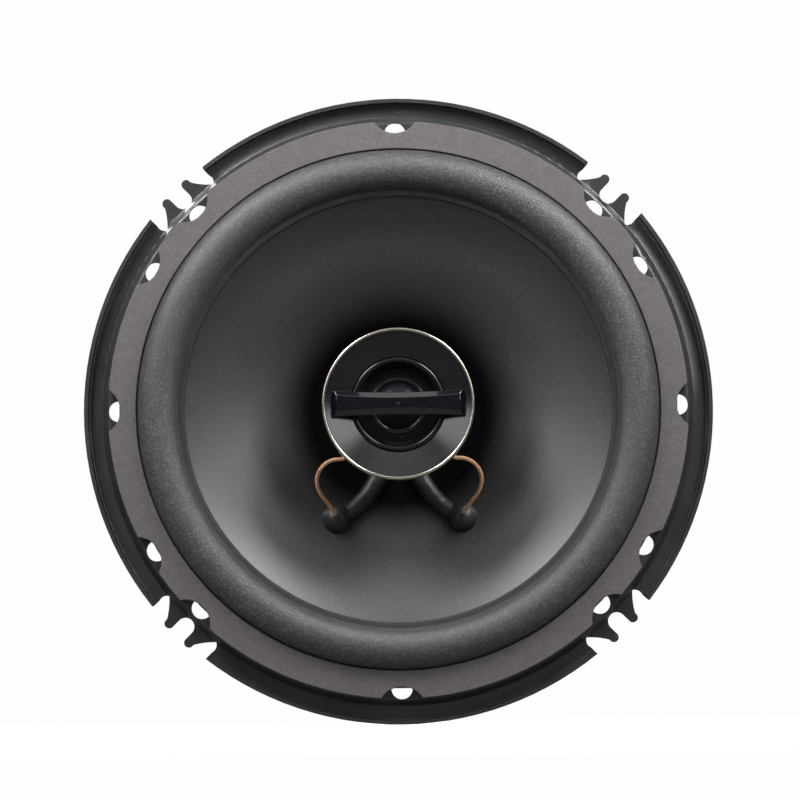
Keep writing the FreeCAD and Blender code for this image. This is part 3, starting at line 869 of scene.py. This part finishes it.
def make_lead(node, route, side, fixed_first, finish):
    line = spline_line([Vector((x * side, y, z)) * MM for x, y, z in route])
    mesh = braid_mesh(node + "_braid", line, sizes().braid_radius, sizes().braid_pitch)
    made = piece(node + "_braid", mesh, finish, [node])
    flex(made, along_weight(even_line(line, 0.2 * MM)[0], fixed_first))


class SPEAKER_OT_leads(bpy.types.Operator):
    """Braided copper leads: two in front to the tweeter, two behind to the terminals"""
    bl_idname = "speaker.leads"
    bl_label = "Leads"

    def execute(self, context):
        copper = copper_strands()
        for side, word in ((1, "right"), (-1, "left")):
            make_lead("copper_lead_" + word, FRONT_ROUTE, side, True, copper)
            make_lead("rear_lead_" + word, REAR_ROUTE, side, False, copper)
        return {"FINISHED"}


class SPEAKER_OT_glue(bpy.types.Operator):
    """Black glue: a blob over each lead's joint, with a leg running in to the cone's neck"""
    bl_idname = "speaker.glue"
    bl_label = "Glue"

    def execute(self, context):
        finish = cured_glue()
        for node in ("lead_glue_right", "lead_glue_left"):
            bm = merged(node)
            mesh = bpy.data.meshes.new(node)
            bm.to_mesh(mesh)
            bm.free()
            rough = bpy.data.objects.new(node + "_rough", mesh)
            bpy.context.scene.collection.objects.link(rough)
            skin = rough.modifiers.new("skin", "REMESH")
            skin.mode = "VOXEL"
            skin.voxel_size = 0.24 * MM
            flow = rough.modifiers.new("flow", "SMOOTH")
            flow.iterations = 8
            flow.factor = 0.6
            swell = rough.modifiers.new("swell", "DISPLACE")
            swell.strength = 0.42 * MM
            swell.mid_level = 0.0
            graph = bpy.context.evaluated_depsgraph_get()
            final = bpy.data.meshes.new_from_object(rough.evaluated_get(graph))
            bpy.data.objects.remove(rough)
            final.transform(Matrix.Translation((0, 0.12 * MM, 0)))
            for polygon in final.polygons:
                polygon.use_smooth = True
            piece(node + "_flow", final, finish, [node], body_holding(node))
        refined("neck_glue", finish)
        return {"FINISHED"}


# ---------------------------------------------------------------- hard parts

class SPEAKER_OT_basket(bpy.types.Operator):
    """Pressed steel basket with its rolled rim, toothed tabs and windows"""
    bl_idname = "speaker.basket"
    bl_label = "Basket"

    def execute(self, context):
        refined("basket", coated_steel())
        refined("basket_rivets", metal("rivet_zinc", (0.55, 0.55, 0.52), 0.3))
        return {"FINISHED"}


class SPEAKER_OT_gasket(bpy.types.Operator):
    """Grey fibre gasket round the front"""
    bl_idname = "speaker.gasket"
    bl_label = "Gasket"

    def execute(self, context):
        refined("front_gasket", fibre(), 0.18 * MM)
        return {"FINISHED"}


class SPEAKER_OT_cone(bpy.types.Operator):
    """Cone, eyelets and voice coil"""
    bl_idname = "speaker.cone"
    bl_label = "Cone"

    def execute(self, context):
        refined("cone", cone_sheet())
        refined("cone_eyelets", metal("brass", (0.75, 0.53, 0.22), 0.25))
        refined("voice_coil_former", metal("foil", (0.7, 0.7, 0.71), 0.3))
        refined("voice_coil_winding", enamelled_winding())
        return {"FINISHED"}


class SPEAKER_OT_motor(bpy.types.Operator):
    """Top plate, ferrite ring, back plate with its pole, rubber boot, screw and washer"""
    bl_idname = "speaker.motor"
    bl_label = "Motor"

    def execute(self, context):
        plate = metal("turned_zinc", (0.5, 0.5, 0.47), 0.3, 0.25 * MM, True)
        fastener = metal("fastener_zinc", (0.62, 0.61, 0.57), 0.22)
        refined("top_plate", plate, 0.25 * MM)
        refined("back_plate", plate, 0.2 * MM)
        refined("ferrite_magnet", ferrite_block(), 0.4 * MM)
        refined("magnet_boot", boot_rubber(), 0.45 * MM)
        refined("post_screw", fastener)
        refined("post_washer", fastener, 0.12 * MM)
        return {"FINISHED"}


class SPEAKER_OT_terminals(bpy.types.Operator):
    """Terminal board with its blades, rivets and crossover capacitor"""
    bl_idname = "speaker.terminals"
    bl_label = "Terminals"

    def execute(self, context):
        tin = metal("tin_plate", (0.72, 0.71, 0.67), 0.24)
        refined("terminal_board", laminate(), 0.12 * MM)
        refined("terminal_tab_wide", tin, 0.08 * MM)
        refined("terminal_tab_narrow", tin, 0.08 * MM)
        refined("board_rivets", metal("rivet_brass", (0.75, 0.55, 0.25), 0.26))
        refined("capacitor", sleeve())
        refined("capacitor_leads", tin)
        return {"FINISHED"}


class SPEAKER_OT_tweeter_housing(bpy.types.Operator):
    """Tweeter's dished face, bright edge ring, rear cup and post"""
    bl_idname = "speaker.tweeter_housing"
    bl_label = "Tweeter housing"

    def execute(self, context):
        plastic = moulding()
        refined("tweeter_face", tweeter_satin())
        refined("tweeter_trim_ring", metal("champagne", tuple(colours().trim), 0.16))
        refined("tweeter_base", plastic, 0.15 * MM)
        refined("tweeter_post", plastic, 0.2 * MM)
        refined("tweeter_support_ring", plastic, 0.08 * MM)
        return {"FINISHED"}


class SPEAKER_OT_tweeter_bridge(bpy.types.Operator):
    """Glossy waisted bar across the tweeter's mouth, crowned in front, with a foot at each end"""
    bl_idname = "speaker.tweeter_bridge"
    bl_label = "Tweeter bridge"

    def execute(self, context):
        low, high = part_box("tweeter_bridge")
        long_, end, waist = high.x, high.z, 2.9 * MM
        front, shoulder, back = low.y, low.y + 0.8 * MM, low.y + 1.8 * MM
        foot_from = 13 * MM
        narrowing = 0.958
        bm = bmesh.new()
        ring = [bm.verts.new((0, n, 0)) for n in range(6)]
        edges = [bm.edges.new((a, b)) for a, b in zip(ring, ring[1:] + ring[:1])]
        count = 52
        shares = [-1 + 2 * n / count for n in range(count + 1)]

        def shape(verts, share):
            x = share * long_
            half = waist + (end - waist) * share * share
            face_half = half - (1.6 - 0.5 * share * share) * MM
            rear = back
            if abs(x) > foot_from:
                rear = DISH_MOUTH_DEPTH - (abs(x) - DISH_MOUTH) * DISH_SLOPE
            face_x = x * narrowing
            rows = [(x, rear, -half), (x, shoulder, -half), (face_x, front, -face_half)]
            rows += [(face_x, front, face_half), (x, shoulder, half), (x, rear, half)]
            for vert, place in zip(verts, rows):
                vert.co = place

        shape(ring, shares[0])
        bmesh.ops.contextual_create(bm, geom=edges)
        for share in shares[1:]:
            grown = bmesh.ops.extrude_edge_only(bm, edges=edges)["geom"]
            made = [g for g in grown if isinstance(g, bmesh.types.BMVert)]
            edges = [g for g in grown if isinstance(g, bmesh.types.BMEdge)]
            shape(made, share)
        bmesh.ops.contextual_create(bm, geom=edges)
        bmesh.ops.recalc_face_normals(bm, faces=bm.faces)
        smooth_edges(bm, BRIDGE_ANGLE)
        mesh = bpy.data.meshes.new("bridge_bar")
        bm.to_mesh(mesh)
        bm.free()
        node = "tweeter_bridge"
        made = piece("bridge_bar", mesh, piano_black(), [node], "frame")
        soften_edges(made, 0.14 * MM, BRIDGE_ANGLE)
        return {"FINISHED"}


class SPEAKER_OT_tweeter_inside(bpy.types.Operator):
    """Tweeter's dome, coil and magnet system"""
    bl_idname = "speaker.tweeter_inside"
    bl_label = "Tweeter inside"

    def execute(self, context):
        steel = metal("tweeter_steel", (0.5, 0.5, 0.48), 0.28)
        refined("tweeter_dome", film("dome_film", 0.24, 1.16))
        refined("tweeter_coil_former", metal("tweeter_foil", (0.7, 0.7, 0.71), 0.3))
        refined("tweeter_coil_winding", enamelled_winding())
        refined("tweeter_yoke", steel, 0.12 * MM)
        refined("tweeter_pole_plate", steel, 0.08 * MM)
        refined("tweeter_magnet", metal("nickel", (0.66, 0.64, 0.6), 0.16), 0.12 * MM)
        return {"FINISHED"}


# ---------------------------------------------------------------- stage

def soft_light(name, place, target, size, watts):
    data = bpy.data.lights.new(name, "AREA")
    data.shape = "RECTANGLE"
    data.size, data.size_y = size
    data.energy = watts
    lamp = bpy.data.objects.new(name, data)
    bpy.context.scene.collection.objects.link(lamp)
    lamp.location = place
    lamp.rotation_euler = (Vector(target) - Vector(place)).to_track_quat("-Z", "Y").to_euler()


class SPEAKER_OT_stage(bpy.types.Operator):
    """Pale floor, plain surroundings, soft lights and the camera"""
    bl_idname = "speaker.stage"
    bl_label = "Stage"

    def execute(self, context):
        scene = context.scene
        gap = 0.05 * MM
        bm = bmesh.new()
        bmesh.ops.create_circle(bm, cap_ends=True, segments=96, radius=2.5)
        bmesh.ops.translate(bm, verts=bm.verts, vec=(0, 0, bounds0[0].z - gap))
        mesh = bpy.data.meshes.new("floor")
        bm.to_mesh(mesh)
        bm.free()
        floor = bpy.data.objects.new("floor", mesh)
        scene.collection.objects.link(floor)
        mesh.materials.append(pale_floor())

        world = bpy.data.worlds.new("studio")
        scene.world = world
        world.use_nodes = True
        tree = world.node_tree
        dim = tree.nodes["Background"]
        dim.inputs["Color"].default_value = (1.0, 1.0, 1.0, 1.0)
        dim.inputs["Strength"].default_value = 0.035
        seen = tree.nodes.new("ShaderNodeBackground")
        seen.inputs["Color"].default_value = (1.0, 1.0, 1.0, 1.0)
        seen.inputs["Strength"].default_value = 0.985
        path = tree.nodes.new("ShaderNodeLightPath")
        choose = tree.nodes.new("ShaderNodeMixShader")
        tree.links.new(path.outputs["Is Camera Ray"], choose.inputs[0])
        tree.links.new(dim.outputs[0], choose.inputs[1])
        tree.links.new(seen.outputs[0], choose.inputs[2])
        tree.links.new(choose.outputs[0], tree.nodes["World Output"].inputs["Surface"])

        middle = (0, 0, 0)
        soft_light("left_softbox", (-0.52, -0.68, 0.31), middle, (0.2, 0.36), 1.15)
        soft_light("right_softbox", (0.52, -0.68, 0.31), middle, (0.2, 0.36), 1.35)
        soft_light("ceiling", (0.0, -0.8, 1.05), middle, (1.5, 0.6), 3.2)
        soft_light("left_top_light", (-0.19, -0.14, 0.24), middle, (0.14, 0.12), 1.0)
        soft_light("right_top_light", (0.19, -0.14, 0.24), middle, (0.14, 0.12), 1.1)
        soft_light("left_rear_softbox", (-0.5, 0.8, 0.5), middle, (0.5, 0.5), 5.0)
        soft_light("right_rear_softbox", (0.65, 0.5, 0.12), middle, (0.3, 0.3), 2.5)

        data = bpy.data.cameras.new("camera")
        data.sensor_width = 36.0
        lens_per_metre = 171.5
        data.lens = lens_per_metre * sizes().camera_distance
        camera = bpy.data.objects.new("camera", data)
        scene.collection.objects.link(camera)
        aim = Vector((0.45 * MM, -3 * MM, 2.2 * MM))
        below = math.radians(6.0)
        lean = math.radians(0.75)
        back = Vector((0, -math.cos(below), -math.sin(below)))
        camera.location = aim + back * sizes().camera_distance
        facing = (-back).to_track_quat("-Z", "Y") @ Quaternion((0, 0, 1), -lean)
        camera.rotation_euler = facing.to_euler()
        scene.camera = camera
        scene.view_settings.view_transform = "Standard"
        return {"FINISHED"}


PIECE_OPERATORS = [
    SPEAKER_OT_basket, SPEAKER_OT_gasket, SPEAKER_OT_surround, SPEAKER_OT_cone, SPEAKER_OT_glue,
    SPEAKER_OT_leads, SPEAKER_OT_spider, SPEAKER_OT_motor, SPEAKER_OT_terminals,
    SPEAKER_OT_tweeter_housing, SPEAKER_OT_tweeter_bridge, SPEAKER_OT_tweeter_suspension,
    SPEAKER_OT_tweeter_inside, SPEAKER_OT_stage,
]


class SPEAKER_PT_panel(bpy.types.Panel):
    """Lists the speaker's settings and the operators that build it"""
    bl_idname = "SPEAKER_PT_panel"
    bl_label = "Coaxial Speaker"
    bl_space_type = "VIEW_3D"
    bl_region_type = "UI"
    bl_category = "Speaker"

    def draw(self, context):
        for group in (sizes(), colours()):
            box = self.layout.box()
            for name in group.__annotations__:
                box.prop(group, name)
        for operator in PIECE_OPERATORS:
            self.layout.operator(operator.bl_idname)


CLASSES = [SpeakerSizes, SpeakerColours, *PIECE_OPERATORS, SPEAKER_PT_panel]


def register():
    for cls in CLASSES:
        bpy.utils.register_class(cls)
    bpy.types.Scene.speaker_sizes = bpy.props.PointerProperty(type=SpeakerSizes)
    bpy.types.Scene.speaker_colours = bpy.props.PointerProperty(type=SpeakerColours)


def unregister():
    del bpy.types.Scene.speaker_colours
    del bpy.types.Scene.speaker_sizes
    for cls in reversed(CLASSES):
        bpy.utils.unregister_class(cls)


def main():
    register()
    for operator in PIECE_OPERATORS:
        group, name = operator.bl_idname.split(".")
        getattr(getattr(bpy.ops, group), name)()


if __name__ == "__main__":
    main()
